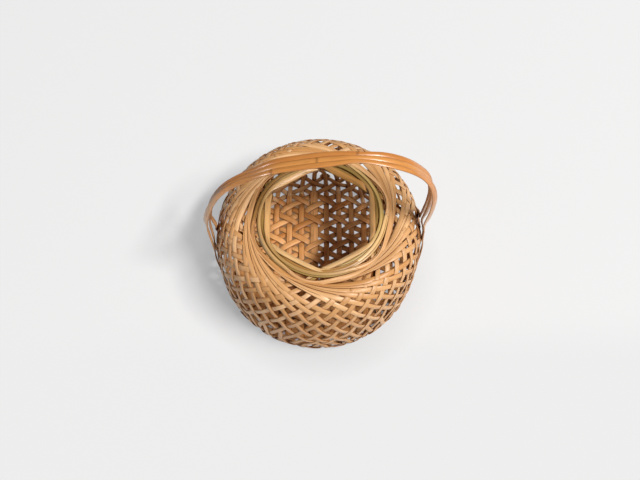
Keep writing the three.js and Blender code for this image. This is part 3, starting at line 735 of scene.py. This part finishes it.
def waist_at(x):
    """How much the strips narrow and draw together right of the middle."""
    return HANDLE_WAIST * np.exp(-(((x - HANDLE_WAIST_AT) / HANDLE_WAIST_LENGTH) ** 2))


def lap_at(x):
    """How much the strips close up and lap over each other on the left shoulder."""
    return HANDLE_LAP * np.exp(-(((x - HANDLE_LAP_AT) / HANDLE_LAP_LENGTH) ** 2))


def leg_points(side, inset, across, tip, leaves, sweep):
    """Points of one leg, from its tucked tip up the wall to just under the springing.  Tip and
    leaves are shares of the neck's height, and sweep is the foot's splay in degrees."""
    half = abs(HANDLE_ARCH[0 if side < 0 else -1][0]) * half_span - inset
    seat = HANDLE_SEAT + HANDLE_THICKNESS / 2
    out = []
    for v in np.linspace(0, 1, LEG_POINTS):
        z = NECK_HEIGHT * (tip + (leaves - tip) * v)
        turn = math.radians(sweep * (1 - SPLAY_LOST * v))
        r = np.interp(-z, -wall_height, wall_radius) + seat - HANDLE_TUCK * (1 - v) ** 2
        out.append((side * r * math.cos(turn) + float(shift_at(z)), r * math.sin(turn), z))
    x, y, _ = out[-1]
    out.append((side * (abs(x) + (half - abs(x)) * MEETS_SPAN), y + (across - y) * MEETS_PLACE,
                (NECK_HEIGHT * leaves + HANDLE_SPRING) / 2))
    return out


def bent_line(control, count):
    """An even line through the control points, with no kinks."""
    control = np.array(control, float)
    control = np.vstack([2 * control[0] - control[1], control, 2 * control[-1] - control[-2]])
    out = []
    for a, b, c, d in zip(control, control[1:], control[2:], control[3:]):
        t1 = np.linalg.norm(b - a) ** 0.5
        t2 = t1 + np.linalg.norm(c - b) ** 0.5
        t3 = t2 + np.linalg.norm(d - c) ** 0.5
        for t in np.linspace(t1, t2, LINE_STEPS, endpoint=False):
            p1 = (t1 - t) / t1 * a + t / t1 * b
            p2 = (t2 - t) / (t2 - t1) * b + (t - t1) / (t2 - t1) * c
            p3 = (t3 - t) / (t3 - t2) * c + (t - t2) / (t3 - t2) * d
            q1 = (t2 - t) / t2 * p1 + t / t2 * p2
            q2 = (t3 - t) / (t3 - t1) * p2 + (t - t1) / (t3 - t1) * p3
            out.append((t2 - t) / (t2 - t1) * q1 + (t - t1) / (t2 - t1) * q2)
    out.append(control[-2])
    out = np.array(out)
    length = np.concatenate([[0], np.cumsum(np.linalg.norm(np.diff(out, axis=0), axis=1))])
    even = np.linspace(0, length[-1], count)
    return np.stack([np.interp(even, length, out[:, i]) for i in range(3)], 1)


# Each strip: inset, place across, left and right foot as tip, leaves and sweep, tone, knot.
handle_pitch = HANDLE_WIDTH + HANDLE_GAP
for name, inset, across, left, right, tone, knot_at in (
    ("front", 0.0, -handle_pitch, (0.457, 0.603, -14.0), (0.438, 0.767, -10.0), 0.35, -42.0),
    ("middle", 0.5 * HANDLE_WIDTH, 0.0, (0.511, 0.658, -5.0), (0.548, 0.767, -1.5), 0.1, -1.0),
    ("rear", 0.7 * HANDLE_WIDTH, handle_pitch, (0.694, 0.804, 3.0), (0.84, 0.886, 10.0), 0.6, 35.0),
):
    control = leg_points(-1, inset, across, *left)
    for share, up in HANDLE_ARCH:
        x = share * half_span
        control.append((x - share * inset, across * (1 - waist_at(x) - lap_at(x)),
                        HANDLE_SPRING + up * (handle_rise - inset * ARCH_NESTING)))
    control += leg_points(1, inset, across, *right)[::-1]
    points = bent_line(control, HANDLE_POINTS)
    x, y, z = points.T
    up = np.maximum(z - HANDLE_SPRING, 0) / handle_rise
    # The legs are twisted a little towards the front between the wall and the shoulders.
    straightened = smooth((z - STRAIGHT_FROM) / STRAIGHTENS_OVER)
    twist = LEG_TWIST * smooth((z - TWIST_FROM) / TWISTS_OVER) * (1 - straightened)
    outward = (1 - np.minimum(up * FACES_UP_BY, 1)) * y / HANDLE_HALF_SPAN - twist
    faces, _ = square_to(np.stack([x / HANDLE_HALF_SPAN, outward, up], 1), points)
    knot = np.exp(-(((x - knot_at) / KNOT_HALF_LENGTH) ** 2)) * (z > ARCH_FROM)
    girth = np.where(z > HANDLE_SPRING, 1 - waist_at(x) - lap_at(x) / 2, 1.0)
    # Painted sheen: the legs and the left shoulder are painted paler, through the skin colours, for the
    # light that glances off them.
    painted_sheen = np.where(x < 0, smooth((PALE_LEFT - z) / PALE_LEFT_OVER),
                    smooth((PALE_RIGHT - z) / PALE_RIGHT_OVER))
    strip = {"points": points, "face": faces, "tone": tone, "girth": girth + KNOT_SWELL * knot,
             "knot": KNOT_DARK * knot, "skin": PAINTED_SHEEN_STRENGTH * painted_sheen, "strip": HANDLE_PATTERN + across}
    weave_piece(f"handle_splint_{name}", [strip], HANDLE_SHOWN_WIDTH, HANDLE_THICKNESS, HANDLE_EASING,
                handle_bamboo, f"handle_strip_{name}")

# Studio: a plain pale sheet under the basket, a soft lamp high on the right and a little in front,
# a small one low on the left for highlights alone, and an even pale sky.  The camera looks down
# from the photograph's angle.
LAMP_DIRECTION, LAMP_COLOUR = (0.43, -0.24, 0.87), (1.0, 0.985, 0.96)
LAMP_DISTANCE, LAMP_LENGTH, LAMP_WIDTH, LAMP_POWER = 8.0, 3.8, 0.72, 860.0
SHEEN_DIRECTION, SHEEN_COLOUR = (-0.85, 0.05, 0.52), (0.96, 0.98, 1.0)
SHEEN_DISTANCE, SHEEN_LENGTH, SHEEN_WIDTH, SHEEN_POWER = 3.0, 0.5, 0.4, 20.0
SHEET_HALF, SKY_STRENGTH = 4, 0.07
# Distances from the basket's middle in metres: its edge on the sheet, and the dim ring round it.
EDGE_FROM, EDGE_TO, RING_FROM, RING_TO = 0.080, 0.091, 0.09, 0.13
CAMERA_LENS, CAMERA_SENSOR, CAMERA_CLIP = 69.83, 36.0, 0.05
CAMERA_PLACE, CAMERA_AIM = (0.0, -0.5494, 1.1782), (0.0018, 0.0242, 0.0113)

corners = [(x * SHEET_HALF, y * SHEET_HALF, 0) for x, y in ((-1, -1), (1, -1), (1, 1), (-1, 1))]
sheet_mesh = bpy.data.meshes.new("sheet")
sheet_mesh.from_pydata(corners, [], [(0, 1, 2, 3)])
sheet = bpy.data.objects.new("sheet", sheet_mesh)
bpy.context.scene.collection.objects.link(sheet)

# Matt white paper, a shade off white and without gloss, so that the eye finds only the shadow.
paper = bpy.data.materials.new("matt white paper sheet")
paper.use_nodes = True
tree = paper.node_tree
tree.nodes.clear()
softly, mixed = {"interpolation_type": "SMOOTHSTEP"}, {"data_type": "RGBA"}
product, larger = {"operation": "MULTIPLY"}, {"operation": "MAXIMUM"}
matt = add_node(tree, "ShaderNodeBsdfDiffuse", Color=hex_colour("#DFDFDF"))
place = add_node(tree, "ShaderNodeTexCoord")
from_middle = add_node(tree, "ShaderNodeVectorMath", {"operation": "LENGTH"}, i0=place.outputs["Object"])
apart = from_middle.outputs["Value"]
part = add_node(tree, "ShaderNodeSeparateXYZ", i0=place.outputs["Object"])
outside = add_node(tree, "ShaderNodeMapRange", i0=apart, i1=EDGE_FROM, i2=EDGE_TO)
# Seen by the camera, the paper has a pale glow of its own, which keeps it evenly bright.  Under
# the basket the glow is painted light and shade: it fades out towards the front, is dim and brown on
# the left, and is white and bright on the right, where light comes in through the wall.
right = add_node(tree, "ShaderNodeMapRange", softly, i0=part.outputs["X"], i1=-0.014, i2=0.006)
brightness = add_node(tree, "ShaderNodeMapRange", i0=right.outputs[0], i3=0.26, i4=0.52)
back = add_node(tree, "ShaderNodeMapRange", softly, i0=part.outputs["Y"], i1=-0.055, i2=-0.02)
lit = add_node(tree, "ShaderNodeMath", product, i0=brightness.outputs[0], i1=back.outputs[0])
# Painted shade: all round its foot the glow is dimmer, where the basket keeps a little of the
# room's light off the paper.
round_foot = add_node(tree, "ShaderNodeMapRange", i0=apart, i1=RING_FROM, i2=RING_TO, i3=0.34,
                      i4=0.446)
strength = add_node(tree, "ShaderNodeMix", {"data_type": "FLOAT"}, i0=outside.outputs[0],
                    i2=lit.outputs[0], i3=round_foot.outputs[0])
neutral = add_node(tree, "ShaderNodeMath", larger, i0=outside.outputs[0], i1=right.outputs[0])
tint = add_node(tree, "ShaderNodeMix", mixed, i0=neutral.outputs[0], i6=hex_colour("#BC976F"),
                i7=hex_colour("#FCFDFF"))
glow = add_node(tree, "ShaderNodeEmission", Color=tint.outputs[2], Strength=strength.outputs[0])
# Painted shade: under the basket the paper's own colour is painted dark brown, for the shade there and the
# light that comes through the bamboo.
shade = add_node(tree, "ShaderNodeMix", mixed, i0=outside.outputs[0], i6=hex_colour("#6F523C"),
                 i7=hex_colour("#A2A2A2"))
half_matt = add_node(tree, "ShaderNodeBsdfDiffuse", Color=shade.outputs[2])
pale = add_node(tree, "ShaderNodeAddShader", i0=half_matt.outputs[0], i1=glow.outputs[0])
# In front of the basket the photograph's paper shows next to no shadow.
# Painted light: a bright glow is laid over the paper there, which hides its shadow, and is a little dimmer
# near the foot as painted shade.
at_foot = add_node(tree, "ShaderNodeMapRange", i0=apart, i1=RING_FROM, i2=RING_TO, i3=0.83,
                   i4=0.99)
bright = add_node(tree, "ShaderNodeEmission", Color=hex_colour("#EEEEEE"), Strength=at_foot.outputs[0])
in_front = add_node(tree, "ShaderNodeMapRange", softly, i0=part.outputs["Y"], i1=-0.05, i2=-0.11,
                    i3=0.0, i4=0.8)
clear = add_node(tree, "ShaderNodeMath", product, i0=in_front.outputs[0], i1=outside.outputs[0])
sheet_seen = add_node(tree, "ShaderNodeMixShader", i0=clear.outputs[0], i1=pale.outputs[0],
                      i2=bright.outputs[0])
path = add_node(tree, "ShaderNodeLightPath")
seen = add_node(tree, "ShaderNodeMath", larger, i0=path.outputs["Is Camera Ray"],
                i1=path.outputs["Is Glossy Ray"])
shown = add_node(tree, "ShaderNodeMixShader", i0=seen.outputs[0], i1=matt.outputs[0],
                 i2=sheet_seen.outputs[0])
add_node(tree, "ShaderNodeOutputMaterial", Surface=shown.outputs[0])
sheet_mesh.materials.append(paper)

world = bpy.data.worlds.new("even pale sky")
world.use_nodes = True
bpy.context.scene.world = world
tree = world.node_tree
tree.nodes.clear()
sky = add_node(tree, "ShaderNodeBackground", Color=hex_colour("#FFFFFF"), Strength=SKY_STRENGTH)
backdrop = add_node(tree, "ShaderNodeBackground", Color=hex_colour("#EFEFEF"), Strength=1.0)
path = add_node(tree, "ShaderNodeLightPath")
choose = add_node(tree, "ShaderNodeMixShader", i0=path.outputs["Is Camera Ray"], i1=sky.outputs[0],
                  i2=backdrop.outputs[0])
add_node(tree, "ShaderNodeOutputWorld", Surface=choose.outputs[0])


def soft_lamp(name, direction, distance, length, width, power, colour):
    """A rectangular lamp that faces the basket from that direction."""
    data = bpy.data.lights.new(name, "AREA")
    data.shape = "RECTANGLE"
    data.size, data.size_y = length, width
    data.energy = power
    data.color = colour
    lamp = bpy.data.objects.new(name, data)
    bpy.context.scene.collection.objects.link(lamp)
    reach = distance / math.sqrt(sum(c * c for c in direction))
    lamp.location = [c * reach for c in direction]
    lamp.rotation_euler = lamp.location.to_track_quat("Z", "Y").to_euler()
    return lamp


soft_lamp("soft lamp", LAMP_DIRECTION, LAMP_DISTANCE, LAMP_LENGTH, LAMP_WIDTH, LAMP_POWER, LAMP_COLOUR)
# A small lamp low on the left gives the lacquer and the skin their second highlight, and no more.
sheen = soft_lamp("side lamp", SHEEN_DIRECTION, SHEEN_DISTANCE, SHEEN_LENGTH, SHEEN_WIDTH, SHEEN_POWER,
                  SHEEN_COLOUR)
sheen.visible_diffuse = False

camera_data = bpy.data.cameras.new("camera")
camera_data.lens = CAMERA_LENS
camera_data.sensor_width = CAMERA_SENSOR
camera_data.clip_start = CAMERA_CLIP
camera = bpy.data.objects.new("camera", camera_data)
bpy.context.scene.collection.objects.link(camera)
camera.location = CAMERA_PLACE
camera.rotation_euler = (Vector(CAMERA_PLACE) - Vector(CAMERA_AIM)).to_track_quat("Z", "Y").to_euler()
bpy.context.scene.camera = camera
bpy.context.scene.view_settings.view_transform = "Standard"
